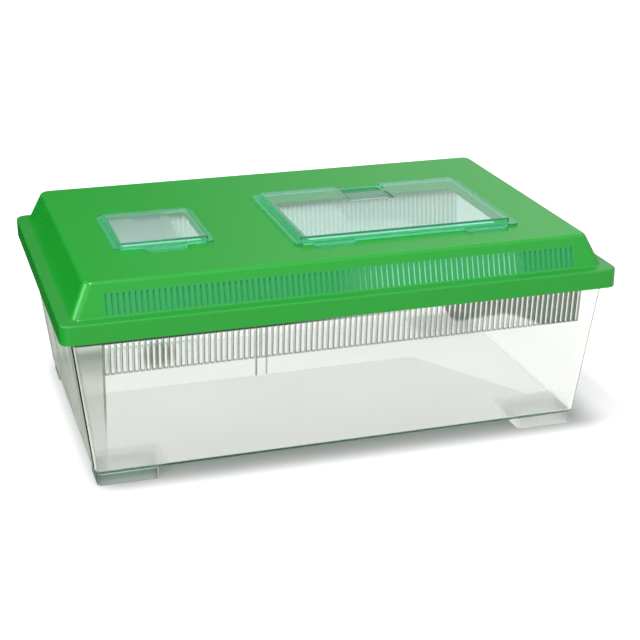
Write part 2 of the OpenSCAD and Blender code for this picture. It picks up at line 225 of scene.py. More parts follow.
def combined(bm, *steps):
    """Adds and cuts solids in turn: each step is ("UNION" or "DIFFERENCE", bmesh)."""
    obj = as_object(bm, "working")
    for operation, tool_bm in steps:
        tool = as_object(tool_bm, "tool")
        mod = obj.modifiers.new("step", "BOOLEAN")
        mod.operation, mod.solver, mod.object = operation, "EXACT", tool
        bpy.context.view_layer.update()
        graph = bpy.context.evaluated_depsgraph_get()
        result = bpy.data.meshes.new_from_object(obj.evaluated_get(graph))
        obj.modifiers.clear()
        old, obj.data = obj.data, result
        bpy.data.meshes.remove(old)
        remove(tool)
    out = bmesh.new()
    out.from_mesh(obj.data)
    remove(obj)
    return out


def finished(bm, name, material, body, node, edge_r):
    """Makes the finished piece in metres, with its small edges rounded and its faces shaded smooth."""
    same_place, same_plane, sharp, worn = 0.002, math.radians(0.5), math.radians(35), math.radians(40)
    bmesh.ops.remove_doubles(bm, verts=bm.verts[:], dist=same_place)
    bmesh.ops.dissolve_limit(bm, angle_limit=same_plane, verts=bm.verts[:], edges=bm.edges[:])
    bmesh.ops.scale(bm, vec=(MM, MM, MM), verts=bm.verts[:])
    obj = as_object(bm, name)
    mesh = obj.data
    mesh.materials.append(material)
    for polygon in mesh.polygons:
        polygon.use_smooth = True
    mesh.set_sharp_from_angle(angle=sharp)
    round_edges = obj.modifiers.new("edges", "BEVEL")
    round_edges.width, round_edges.segments = edge_r * MM, 2
    round_edges.limit_method, round_edges.angle_limit = "ANGLE", worn
    round_edges.use_clamp_overlap = True
    flat = obj.modifiers.new("flat", "WEIGHTED_NORMAL")
    flat.keep_sharp, flat.weight = True, 80
    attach(obj, body)
    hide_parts(node)


# ---------------------------------------------------------------- shapes

def tub_size(h):
    """Width and depth over the tub's walls at a height above the floor's underside."""
    return FLOOR_W + 2 * TUB_LEAN_X * h / TUB_H, FLOOR_D + 2 * TUB_LEAN_Y * h / TUB_H


def slope_size(h):
    """Width and depth over the lid's slopes at a height above the ledge."""
    slope_h = TOP_Z - LEDGE_Z
    return (KEEPER_W - 2 * LEDGE_W - 2 * SLOPE_LEAN_X * h / slope_h,
            KEEPER_D - 2 * LEDGE_W - 2 * SLOPE_LEAN_Y * h / slope_h)


def hinge_line(hatch):
    """Where the pins of a hatch lie: their Y and their height."""
    return hatch["y"] - hatch["d"] / 2 - hatch["flange"] - HINGE_REACH, TOP_Z - HINGE_SINK


def make_tub():
    """Leaning walls with a rim, rib bands, two uprights and four hollow feet."""
    under = TUB_H - RIM_T
    w1, d1 = tub_size(under)
    outer = loft([(FLOOR_W, FLOOR_D, TUB_CORNER_R, FOOT_H), (w1, d1, TUB_CORNER_R, FOOT_H + under),
                  (RIM_W, RIM_D, RIM_CORNER_R, FOOT_H + under), (RIM_W, RIM_D, RIM_CORNER_R, FOOT_H + TUB_H)])
    soften(outer, FOOT_H, FLOOR_EDGE_R, 4)
    w2, d2 = tub_size(TUB_WALL)
    w3, d3 = tub_size(TUB_H + OVER)
    inner_r = TUB_CORNER_R - TUB_WALL
    hollow = loft([(w2 - 2 * TUB_WALL, d2 - 2 * TUB_WALL, inner_r, FOOT_H + TUB_WALL),
                   (w3 - 2 * TUB_WALL, d3 - 2 * TUB_WALL, inner_r, FOOT_H + TUB_H + OVER)])
    soften(hollow, FOOT_H + TUB_WALL, FLOOR_INNER_R, 3)
    feet, wells = [], []
    well = FOOT_W - 2 * TUB_WALL, FOOT_D - 2 * TUB_WALL, FOOT_CORNER_R - TUB_WALL
    for sx in (-1, 1):
        for sy in (-1, 1):
            x = sx * (FLOOR_W / 2 - FOOT_INSET - FOOT_W / 2)
            y = sy * (FLOOR_D / 2 - FOOT_INSET - FOOT_D / 2)
            foot = prism(FOOT_W, FOOT_D, FOOT_CORNER_R, 0, FOOT_H + OVER)
            soften(foot, 0, FOOT_EDGE_R, 2)
            feet.append(moved(foot, x, y))
            wells.append(moved(prism(*well, -OVER, FOOT_H), x, y))
    uprights = [upright(BAR_W, -BAR_LEFT, BAR_START), upright(PANEL_W, -PANEL_LEFT, PANEL_START)]
    return combined(outer, ("UNION", joined(feet)), ("UNION", rib_band(1)), ("UNION", rib_band(-1)),
                    ("UNION", joined(uprights)), ("DIFFERENCE", hollow), ("DIFFERENCE", joined(wells)))


def on_wall(bm, h, side):
    """Leans a piece that stands upright on y = 0 against the front (side 1) or back (side -1) wall."""
    tilt = math.atan(TUB_LEAN_Y / TUB_H)
    moved(bm, 0, -tub_size(h)[1] / 2, FOOT_H + h, Matrix.Rotation(tilt, 3, "X"))
    return mirrored(bm) if side < 0 else bm


def wall_length(start):
    """The length along the leaning wall from a height to the middle of the rim."""
    return (TUB_H - RIM_T / 2 - start) / math.cos(math.atan(TUB_LEAN_Y / TUB_H))


def rib_band(side):
    """The upright ribs of one long wall; the front ones leave room for the flat bar."""
    length, r = wall_length(RIB_START), RIB_CORNER_R
    ribs = []
    for i in range(RIB_COUNT):
        x = RIB_SHIFT + (i - (RIB_COUNT - 1) / 2) * RIB_PITCH
        if side > 0 and abs(x + BAR_LEFT) < (RIB_W + BAR_W) / 2:
            continue
        rib = loft([(RIB_W, length, r, -OVER)] + crown(RIB_W, length, r, RIB_OUT, RIB_EDGE_R), 4)
        ribs.append(moved(rib, x, 0, length / 2, STANDING))
    return on_wall(joined(ribs), RIB_START, side)


def upright(w, x, start):
    """A raised upright on the front wall, from a height on the wall to the rim."""
    length, r = wall_length(start), UPRIGHT_CORNER_R
    bar = loft([(w, length, r, -OVER)] + crown(w, length, r, UPRIGHT_OUT, UPRIGHT_EDGE_R), 3)
    return on_wall(moved(bar, x, 0, length / 2, STANDING), start, 1)


def hinge_tools():
    """Trays under the lid for the hinge lugs, the pockets cut in them and the bores for the pins."""
    trays, pockets, bores = [], [], []
    for hatch in (LARGE, SMALL):
        y, z = hinge_line(hatch)
        half, end = LUG_W / 2 + LUG_GAP, LUG_W / 2 + LUG_GAP + TRAY_END
        low = z - BARREL_R - BARREL_GAP
        for lug in hatch["lugs"]:
            x = hatch["x"] + lug
            trays.append(block((x - end, y - POCKET_FRONT - TRAY_WALL, low - TRAY_WALL),
                               (x + end, y + POCKET_BACK + TRAY_WALL, TOP_Z - LID_WALL / 2)))
            pockets.append(block((x - half, y - POCKET_FRONT, low),
                                 (x + half, y + POCKET_BACK, TOP_Z + OVER)))
            bores.append(rod(PIN_R + PIN_FIT, 2 * (end + OVER), (x, y, z)))
    return joined(trays), joined(pockets), joined(bores)


def vent_slots():
    """Shallow recesses in the long slopes, each with a narrow throat that slants on through the wall."""
    lean = math.atan(SLOPE_LEAN_Y / (TOP_Z - LEDGE_Z))
    length, h = SLOT_H / math.cos(lean), SLOT_START + SLOT_H / 2
    throat_l = length - THROAT_SHORTER
    levels = [(SLOT_THROAT, throat_l, THROAT_R, -LID_WALL - OVER),
              (SLOT_THROAT, throat_l, THROAT_R, -SLOT_DEPTH),
              (SLOT_W - SLOT_TAPER, length - SLOT_TAPER, SLOT_FLOOR_R, -SLOT_DEPTH),
              (SLOT_W, length, SLOT_R, -SLOT_MOUTH), (SLOT_W, length, SLOT_R, OVER)]
    slots = []
    for i in range(SLOT_COUNT):
        x = (i - (SLOT_COUNT - 1) / 2) * SLOT_PITCH
        for at_back in (False, True):
            slot = loft(levels, 3)
            deep = [v for v in slot.verts if v.co.z < -LID_WALL]
            bmesh.ops.translate(slot, vec=(-SLOT_SLANT, 0, 0), verts=deep)
            moved(slot, x, -slope_size(h)[1] / 2, LEDGE_Z + h, Matrix.Rotation(math.pi / 2 - lean, 3, "X"))
            slots.append(mirrored(slot) if at_back else slot)
    return joined(slots)


def make_lid():
    """Skirt, ledge, four slopes and a flat top with two doors, vent slots and places for the hinges."""
    slope_h, skirt_z, under = TOP_Z - LEDGE_Z, LEDGE_Z - SKIRT_H, LEDGE_Z - LID_WALL
    w0, d0 = slope_size(0)
    w1, d1 = slope_size(slope_h)
    outer = loft([(KEEPER_W, KEEPER_D, SKIRT_CORNER_R, skirt_z),
                  (KEEPER_W, KEEPER_D, SKIRT_CORNER_R, LEDGE_Z),
                  (w0, d0, SLOPE_CORNER_R, LEDGE_Z), (w1, d1, SLOPE_CORNER_R, TOP_Z)], 10)
    soften(outer, TOP_Z, TOP_EDGE_R, 5)
    soften(outer, LEDGE_Z, SLOPE_FOOT_R, 3, outer=False)
    soften(outer, LEDGE_Z, SKIRT_EDGE_R, 4, outer=True)
    wall_x = LID_WALL / math.cos(math.atan(SLOPE_LEAN_X / slope_h))
    wall_y = LID_WALL / math.cos(math.atan(SLOPE_LEAN_Y / slope_h))
    inner_r = SLOPE_CORNER_R - LID_WALL
    w2, d2 = slope_size(-LID_WALL)
    w3, d3 = slope_size(slope_h - LID_WALL)
    skirt_w, skirt_d = KEEPER_W - 2 * LID_WALL, KEEPER_D - 2 * LID_WALL
    hollow = loft([(skirt_w, skirt_d, RIM_CORNER_R, skirt_z - OVER), (skirt_w, skirt_d, RIM_CORNER_R, under),
                   (w2 - 2 * wall_x, d2 - 2 * wall_y, inner_r, under),
                   (w3 - 2 * wall_x, d3 - 2 * wall_y, inner_r, TOP_Z - LID_WALL)])
    trays, pockets, bores = hinge_tools()
    doors = []
    for door in (LARGE_DOOR, SMALL_DOOR):
        opening = prism(door["w"], door["d"], DOOR_R, TOP_Z - LID_WALL - OVER, TOP_Z + OVER)
        doors.append(moved(opening, door["x"], door["y"]))
    return combined(outer, ("DIFFERENCE", hollow), ("UNION", trays), ("DIFFERENCE", vent_slots()),
                    ("DIFFERENCE", joined(doors)), ("DIFFERENCE", pockets), ("DIFFERENCE", bores))


def cover(hatch):
    """The outside of a raised cover with its flange, and the hollow to cut from below."""
    w, d, flange, h = hatch["w"], hatch["d"], hatch["flange"], hatch["h"]
    wide, deep, wide_r = w + 2 * flange, d + 2 * flange, COVER_R + flange / 2
    outer = loft([(wide, deep, wide_r, 0), (wide, deep, wide_r, FLANGE_T),
                  (w, d, COVER_R, FLANGE_T), (w, d, COVER_R, h)], 6)
    soften(outer, h, COVER_EDGE_R, 4)
    soften(outer, FLANGE_T, COVER_FOOT_R, 2, outer=False)
    soften(outer, FLANGE_T, FLANGE_EDGE_R, 2, outer=True)
    inner = prism(w - 2 * HATCH_WALL, d - 2 * HATCH_WALL, COVER_R - HATCH_WALL, -OVER, h - HATCH_WALL, 6)
    soften(inner, h - HATCH_WALL, COVER_INNER_R, 3)
    return moved(outer, hatch["x"], hatch["y"], HATCH_Z), moved(inner, hatch["x"], hatch["y"], HATCH_Z)


def hinge_lugs(hatch):
    """The steps that add arms, barrels and pins at the front edge of a hatch."""
    arms, rods = [], []
    y, z = hinge_line(hatch)
    low, reach = HINGE_SINK + SEAT_GAP, HINGE_REACH + ARM_OVERLAP
    # Outline of an arm seen from the side, which grows out of the barrel and ends under the flange
    side, rise = 0.6 * BARREL_R, 0.78 * BARREL_R
    profile = [(-side, rise), (side * 1.4, low + FLANGE_T), (reach, low + FLANGE_T),
               (reach, low), (side * 2, low), (side, rise), (0, 0)]
    for lug in hatch["lugs"]:
        x = hatch["x"] + lug
        arm = bmesh.new()
        face = arm.faces.new([arm.verts.new((x - LUG_W / 2, y + py, z + pz)) for py, pz in profile])
        made = bmesh.ops.extrude_face_region(arm, geom=[face])["geom"]
        far_side = [g for g in made if isinstance(g, bmesh.types.BMVert)]
        bmesh.ops.translate(arm, vec=(LUG_W, 0, 0), verts=far_side)
        bmesh.ops.recalc_face_normals(arm, faces=arm.faces[:])
        arms.append(arm)
        rods.append(rod(BARREL_R, LUG_W, (x, y, z)))
        rods.append(rod(PIN_R, LUG_W + 2 * PIN_L, (x, y, z)))
    return [("UNION", bm) for bm in arms + rods]


def make_large_hatch():
    """The large cover with its finger hole and notch, and the openings round the latch."""
    outer, inner = cover(LARGE)
    low, high = HATCH_Z + LARGE["h"] - HATCH_WALL - OVER, HATCH_Z + LARGE["h"] + OVER
    finger_w, finger_d, finger_r = FINGER["w"], FINGER["d"], FINGER["r"]
    hole = moved(prism(finger_w, finger_d, finger_r, low, high), FINGER["x"], FINGER["y"])
    # The finger hole goes on through the back wall and the flange, up to a narrow rim
    back = LARGE["y"] + LARGE["d"] / 2
    notch = block((FINGER["x"] - finger_w / 2, back - HATCH_WALL - NOTCH_OVERLAP, HATCH_Z - OVER),
                  (FINGER["x"] + finger_w / 2, back + LARGE["flange"] - NOTCH_RIM, high))
    # The opening for the latch, and a second one at its right that a thin strut divides
    root_y = LATCH_END_Y - LATCH_L
    left, right = LATCH_X - LATCH_W / 2 - LATCH_GAP_LEFT, LATCH_X + LATCH_W / 2
    slot = block((left, root_y - HATCH_WALL / 2 - LATCH_ROOT_GAP, low),
                 (left + LATCH_W + 2 * LATCH_GAP_LEFT, FINGER["y"] - finger_d / 2 + finger_r, high))
    side_l, side_y = LATCH_L + SIDE_SLOT_LONGER, root_y + LATCH_L / 2 - SIDE_SLOT_SHIFT
    side = block((right, side_y - side_l / 2, low), (right + LATCH_GAP_RIGHT, side_y + side_l / 2, high))
    strut_x, half_w = right + LATCH_GAP_RIGHT / 2, STRUT_W / 2
    strut = block((strut_x - half_w, side_y - side_l / 2 - STRUT_OVERLAP, HATCH_Z + LARGE["h"] - HATCH_WALL),
                  (strut_x + half_w, side_y + side_l / 2 + STRUT_OVERLAP, HATCH_Z + LARGE["h"]))
    cuts = [("DIFFERENCE", tool) for tool in (inner, hole, notch, slot, side)]
    return combined(outer, *cuts, ("UNION", strut), *hinge_lugs(LARGE))


def make_small_hatch():
    """The small cover with the catch that reaches down inside its door's back edge."""
    outer, inner = cover(SMALL)
    back = SMALL_DOOR["y"] + SMALL_DOOR["d"] / 2 - CATCH_GAP
    catch = block((SMALL["x"] - CATCH_W / 2, back - HATCH_WALL, TOP_Z - HOOK_DROP),
                  (SMALL["x"] + CATCH_W / 2, back, HATCH_Z + SMALL["h"] - HATCH_WALL / 2))
    return combined(outer, ("DIFFERENCE", inner), ("UNION", catch), *hinge_lugs(SMALL))


def make_latch():
    """The spring tongue with its round root, the hook at its end and the grips across it."""
    root_y, half_t = LATCH_END_Y - LATCH_L, HATCH_WALL / 2
    left, right = LATCH_X - LATCH_W / 2, LATCH_X + LATCH_W / 2
    pad = block((left, root_y, LATCH_Z - half_t), (right, LATCH_END_Y, LATCH_Z + half_t))
    root = rod(half_t, LATCH_W, (LATCH_X, root_y, LATCH_Z))
    hook = block((left, LATCH_END_Y - HOOK_T, TOP_Z - HOOK_DROP), (right, LATCH_END_Y, LATCH_Z))
    step = LATCH_L / (GRIP_COUNT + 1)
    grips = []
    for i in range(1, GRIP_COUNT + 1):
        y = root_y + i * step
        grips.append(block((left + GRIP_W, y - GRIP_W / 2, LATCH_Z),
                           (right - GRIP_W, y + GRIP_W / 2, LATCH_Z + half_t + GRIP_H)))
    return combined(pad, ("UNION", root), ("UNION", hook), ("UNION", joined(grips)))


# ---------------------------------------------------------------- node tools

class Net:
    """The nodes of one material, world or group, with the kinds of node that repeat."""

    def __init__(self, tree, last):
        """The last node is the one that ends the tree, which put() feeds."""
        self.nodes, self.links, self.last = tree.nodes, tree.links, last

    def add(self, kind):
        """A new shader node."""
        return self.nodes.new("ShaderNode" + kind)

    def feed(self, socket, value):
        """Sets a socket to a number or a colour, or links another socket to it."""
        if isinstance(value, bpy.types.NodeSocket):
            self.links.new(value, socket)
        else:
            socket.default_value = value

    def put(self, name, value):
        """Feeds an input of the node that ends the tree."""
        self.feed(self.last.inputs[name], value)

    def calc(self, operation, a, b=0.0, c=0.0):
        """One maths node on sockets or numbers."""
        node = self.add("Math")
        node.operation = operation
        for socket, value in zip(node.inputs, (a, b, c)):
            self.feed(socket, value)
        return node.outputs[0]

    def times(self, *factors):
        """The product of sockets and numbers."""
        product = factors[0]
        for factor in factors[1:]:
            product = self.calc("MULTIPLY", product, factor)
        return product

    def add_times(self, a, b, total):
        """A product added to a total."""
        return self.calc("MULTIPLY_ADD", a, b, total)

    def largest(self, a, b):
        """The larger of two values."""
        return self.calc("MAXIMUM", a, b)

    def apart(self, a, b):
        """How far two values are apart."""
        return self.calc("ABSOLUTE", self.calc("SUBTRACT", a, b))

    def beyond(self, value, middle, half):
        """How far a value is past a stretch on either side, or 0 within it."""
        return self.largest(self.calc("SUBTRACT", self.apart(value, middle), half), 0)

    def squares(self, a, b):
        """The sum of the squares of two values."""
        return self.calc("ADD", self.calc("MULTIPLY", a, a), self.calc("MULTIPLY", b, b))

    def smooth(self, value, start, end, low=0.0, high=1.0):
        """A soft step from low to high while a value goes from start to end."""
        node = self.add("MapRange")
        node.interpolation_type = "SMOOTHSTEP"
        for name, number in (("From Min", start), ("From Max", end), ("To Min", low), ("To Max", high)):
            node.inputs[name].default_value = number
        self.links.new(value, node.inputs["Value"])
        return node.outputs["Result"]

    def row_offset(self, value, pitch, count):
        """How far a value is from the nearest middle in a row: 0 on it and 0.5 between two."""
        turn = self.calc("FRACT", self.add_times(value, 1 / pitch, 0.5 + count))
        return self.apart(turn, 0.5)

    def place(self, axes, unit=MM):
        """The object's own coordinates along some axes, in a unit of so many metres."""
        part = self.add("SeparateXYZ")
        self.links.new(self.add("TexCoord").outputs["Object"], part.inputs[0])
        return [self.calc("MULTIPLY", part.outputs[axis], 1 / unit) for axis in axes]

    def noise(self, scale, detail):
        """Cloudy noise that is fixed to the object."""
        node = self.add("TexNoise")
        self.links.new(self.add("TexCoord").outputs["Object"], node.inputs["Vector"])
        self.feed(node.inputs["Scale"], scale)
        node.inputs["Detail"].default_value = detail
        return node.outputs["Fac"]

    def use(self, group, numbers=()):
        """Puts in a node group with its numbers, and returns what comes out of it."""
        node = self.add("Group")
        node.node_tree = group
        for name, number in dict(numbers).items():
            node.inputs[name].default_value = number
        return node.outputs

    def blend(self, factor, a, b):
        """One colour laid over another by a mask."""
        node = self.add("Mix")
        node.data_type = "RGBA"
        self.links.new(factor, node.inputs["Factor"])
        for name, value in (("A", a), ("B", b)):
            self.feed(next(i for i in node.inputs if i.name == name and i.type == "RGBA"), value)
        return next(o for o in node.outputs if o.type == "RGBA")

    def layered(self, colour, masks, tints):
        """Tints laid in turn over a colour, each by the mask of its name."""
        colour = (*colour, 1)
        for name, tint in tints.items():
            colour = self.blend(masks[name], colour, (*tint, 1))
        return colour


def new_material(name):
    """An empty material and its net."""
    material = bpy.data.materials.new(name)
    material.use_nodes = True
    nodes = material.node_tree.nodes
    nodes.clear()
    return material, Net(material.node_tree, nodes.new("ShaderNodeOutputMaterial"))


def new_group(name, outputs, inputs=()):
    """A node group with named numbers going in and coming out, and its net."""
    group = bpy.data.node_groups.new(name, "ShaderNodeTree")
    for way, names in (("INPUT", inputs), ("OUTPUT", outputs)):
        for socket in names:
            group.interface.new_socket(name=socket, in_out=way, socket_type="NodeSocketFloat")
    return group, Net(group, group.nodes.new("NodeGroupOutput"))


# ---------------------------------------------------------------- shared finish

GRAIN_SCALE, MARKS_SCALE, MARKS = 900, 14, (0.35, 0.75)
LID_FINISH = {"wave": 9, "grain": 0.0, "strength": 0.01, "distance": 0.0008}
CLEAR_FINISH = {"wave": 14, "grain": 0.02, "strength": 0.3, "distance": 0.0003}


def moulded_group():
    """Finish of moulded plastic: waves and fine grain as a height, and a mask of faint handling marks."""
    group, net = new_group("moulded_finish", ("Height", "Marks"), ("Wave Size", "Grain"))
    inputs = net.nodes.new("NodeGroupInput").outputs
    wave, grain = net.noise(inputs["Wave Size"], 1), net.noise(GRAIN_SCALE, 2)
    net.put("Height", net.add_times(grain, inputs["Grain"], wave))
    net.put("Marks", net.smooth(net.noise(MARKS_SCALE, 2), *MARKS))
    return group


MOULDED = moulded_group()


def add_finish(net, shader, wave, grain, strength, distance):
    """Gives a shader its bump from the shared finish, and returns the mask of handling marks."""
    finish = net.use(MOULDED, {"Wave Size": wave, "Grain": grain})
    bump = net.add("Bump")
    bump.inputs["Strength"].default_value, bump.inputs["Distance"].default_value = strength, distance
    net.links.new(finish["Height"], bump.inputs["Height"])
    net.links.new(bump.outputs["Normal"], shader.inputs["Normal"])
    return finish["Marks"]


# ---------------------------------------------------------------- green lid

LID_IOR, LID_ROUGH, LID_MARKS_ROUGH = 1.49, 0.24, 0.05
LID_COLOUR = (0.012, 0.390, 0.030)
# Tints over the green: teal over the slotted band, painted shade in the slot recesses, on the ledge and under
# the finger hole, a painted highlight on slot walls, and painted light in the hinge pockets
LID_TINTS = {"Band": (0.024, 0.390, 0.085), "Recess": (0.022, 0.420, 0.135), "Lit Walls": (0.46, 0.97, 0.76),
             "Ledge": (0.022, 0.330, 0.038), "Pockets": (0.07, 0.66, 0.23), "Finger": (0.010, 0.240, 0.048)}

# Soft steps, each with its start and end: in millimetres, and for the slots in parts of their pitch
SLOT_FACES, SLOTS_LIT_FROM, SLOTS_LIT_TO, SLOT_LIT_WALL = (127, 129), (-15, 40), (150, 140), (0.14, 0.08)
LEDGE_LOW, LEDGE_HIGH, LEDGE_SOFT = 0.3, 0.4, 0.8
POCKET_MORE, POCKET_LOW, POCKET_HIGH, POCKET_SOFT = 2, 8, 0.6, 0.2
FINGER_FRONT, FINGER_BACK, FINGER_SOFT = 12, 53, 1


def lid_group():
    """Masks on the lid: the band of vent slots, painted shade in their recesses and painted highlights on
    their walls, painted shade on the ledge and at the finger place, and painted light in the hinge pockets.
    """
    group, net = new_group("lid_zones", LID_TINTS)
    smooth = net.smooth
    x, y, z = net.place("XYZ")

    def within_box(lo, hi, soft):
        """A mask of the box between two corners, with soft sides."""
        mask = 1.0
        for value, low_end, high_end in zip((x, y, z), lo, hi):
            mask = net.times(smooth(value, low_end - soft, low_end), mask)
            mask = net.times(smooth(value, high_end + soft, high_end), mask)
        return mask

    # The band of slots, which reaches a little past the outer slots and their ends
    half, half_slot = SLOT_COUNT * SLOT_PITCH / 2, SLOT_W / 2 / SLOT_PITCH
    low, high = LEDGE_Z + SLOT_START, LEDGE_Z + SLOT_START + SLOT_H
    tall = net.times(smooth(z, low - 0.6, low + 0.6), smooth(z, high + 1, high - 0.5))
    wide = smooth(net.calc("ABSOLUTE", x), half + 1, half - 2)
    band = net.times(wide, tall, smooth(net.calc("ABSOLUTE", y), *SLOT_FACES))
    off = net.row_offset(x, SLOT_PITCH, SLOT_COUNT)
    net.put("Band", band)
    # Painted shade: a teal tint in the slot recesses stands for the shaded view through the slots
    net.put("Recess", net.times(band, smooth(off, half_slot + 0.03, half_slot - 0.02)))
    # Painted highlight: light mint on the slot walls over a stretch of the band
    lit = net.times(smooth(x, *SLOTS_LIT_FROM), smooth(x, *SLOTS_LIT_TO))
    net.put("Lit Walls", net.times(band, smooth(off, *SLOT_LIT_WALL), lit))

    # Painted shade: the ledge at the foot of the slopes is a deeper green than the rest of the lid
    net.put("Ledge", within_box((-KEEPER_W, -KEEPER_D, LEDGE_Z - LEDGE_LOW),
                                (KEEPER_W, KEEPER_D, LEDGE_Z + LEDGE_HIGH), LEDGE_SOFT))
    # Painted light: the hinge pockets are a brighter green, against the shade that falls in them
    pockets = []
    for hatch in (LARGE, SMALL):
        pin_y, _ = hinge_line(hatch)
        half = hatch["lugs"][-1] + LUG_W / 2 + POCKET_MORE
        pockets.append(within_box((hatch["x"] - half, pin_y - POCKET_FRONT, TOP_Z - POCKET_LOW),
                                  (hatch["x"] + half, pin_y + POCKET_BACK, TOP_Z - POCKET_HIGH), POCKET_SOFT))
    net.put("Pockets", net.largest(*pockets))
    # Painted shade: the lid under the large hatch's finger hole is a darker green
    half = FINGER["w"] / 2
    net.put("Finger", within_box((FINGER["x"] - half, FINGER["y"] - FINGER_FRONT, TOP_Z - 1),
                                 (FINGER["x"] + half, FINGER_BACK, TOP_Z + 1), FINGER_SOFT))
    return group


def green_plastic():
    """Glossy opaque green, tinted by place with painted shade, light and highlights."""
    material, net = new_material("green_lid_plastic")
    shader = net.add("BsdfPrincipled")
    shader.inputs["IOR"].default_value = LID_IOR
    marks = add_finish(net, shader, **LID_FINISH)
    net.feed(shader.inputs["Roughness"], net.add_times(marks, LID_MARKS_ROUGH, LID_ROUGH))
    net.feed(shader.inputs["Base Color"], net.layered(LID_COLOUR, net.use(lid_group()), LID_TINTS))
    net.put("Surface", shader.outputs[0])
    return material


# ---------------------------------------------------------------- clear plastic

def clear_shader(name, ior, shadow_tint, body_tint, density):
    """Clear plastic that bends light for the eye, lets lamps and matt light through, and tints long paths."""
    material, net = new_material(name)
    shader, through, mix = net.add("BsdfPrincipled"), net.add("BsdfTransparent"), net.add("MixShader")
    shader.inputs["Transmission Weight"].default_value = 1
    shader.inputs["IOR"].default_value = ior
    through.inputs["Color"].default_value = (*shadow_tint, 1)
    path = net.add("LightPath").outputs
    net.links.new(net.largest(path["Is Shadow Ray"], path["Is Diffuse Ray"]), mix.inputs["Fac"])
    net.links.new(shader.outputs[0], mix.inputs[1])
    net.links.new(through.outputs[0], mix.inputs[2])
    net.put("Surface", mix.outputs[0])
    volume = net.add("VolumeAbsorption")
    volume.inputs["Color"].default_value = (*body_tint, 1)
    volume.inputs["Density"].default_value = density
    net.put("Volume", volume.outputs[0])
    return material, net, shader


MARKS_ROUGH = 0.03
TUB_GROOVE_ROUGH, TUB_MARGIN_ROUGH, TUB_FLOOR_ROUGH = 0.12, 0.10, 0.26
TUB_COLOUR = (0.998, 0.996, 0.984)
# Tints over the clear tub: dark mint for the feet, made darker at the left by painted shade, and painted
# shade for all the rest, with a painted shadow line under the lid's skirt
TUB_TINTS = {"Side": (0.90, 0.96, 0.88), "Margin": (0.63, 0.66, 0.595), "Grooves": (0.74, 0.78, 0.73),
             "Lines": (0.10, 0.13, 0.10), "Shade": (0.13, 0.16, 0.12), "Uprights": (0.34, 0.40, 0.34),
             "Foot": (0.042, 0.095, 0.062), "Edge": (0.34, 0.54, 0.45), "Skirt Shadow Line": (0.01, 0.02, 0.01)}

# Soft steps on the tub in millimetres, each with its start and end, and its low and high where not 0 and 1
FRONT_WALL, RIBBED_WALLS, LEFT_WALL = (-100, -104), (120, 122), (-206, -208)
FADE_TO_BACK, FADE_TO_RIGHT, MARGIN_RISE = (60, -60, 0.35, 1), (-60, 80, 1, 0), (10, 130, 0.25, 1)
DARK_FROM, DARK_LOWER_RIGHT, DARK_LOWER_END = (129, 133), (72, 92, 0, 19), (130, 185, 0, 16)
DARK_CLOUDS, DARK_SCALE = 6, 16
SPOT_X, SPOT_Z, SPOT = (-155, 17), (112, 15), (1, 0.1, 0, 0.8)
FIELD_SLANT, FIELD_RIGHT, FIELD_BACK, FIELD_LEAST = 0.62, (136, 130), (30, 26), 0.65
FROST_REACH, FROST = 24, (1.35, 2.0)
EDGE_FADE = (90, 40)
FOOT_LESS_RIGHT, FOOT_LESS_LOW = (0, -100, 0.55, 1), (1, 8, 0.88, 1)
SKIRT_SHADOW_LOW, SKIRT_SHADOW_HIGH = (124.6, 125.4), (127.8, 127.0)

# Soft steps across a rib, in parts of the ribs' pitch
BETWEEN_RIBS, RIB_SIDES, RIB_ENDS, RIB_SHADE = (0.27, 0.31), (0.40, 0.36), (0.33, 0.29), (0.14, 0.2)
RIB_END_LEVEL = 0.7


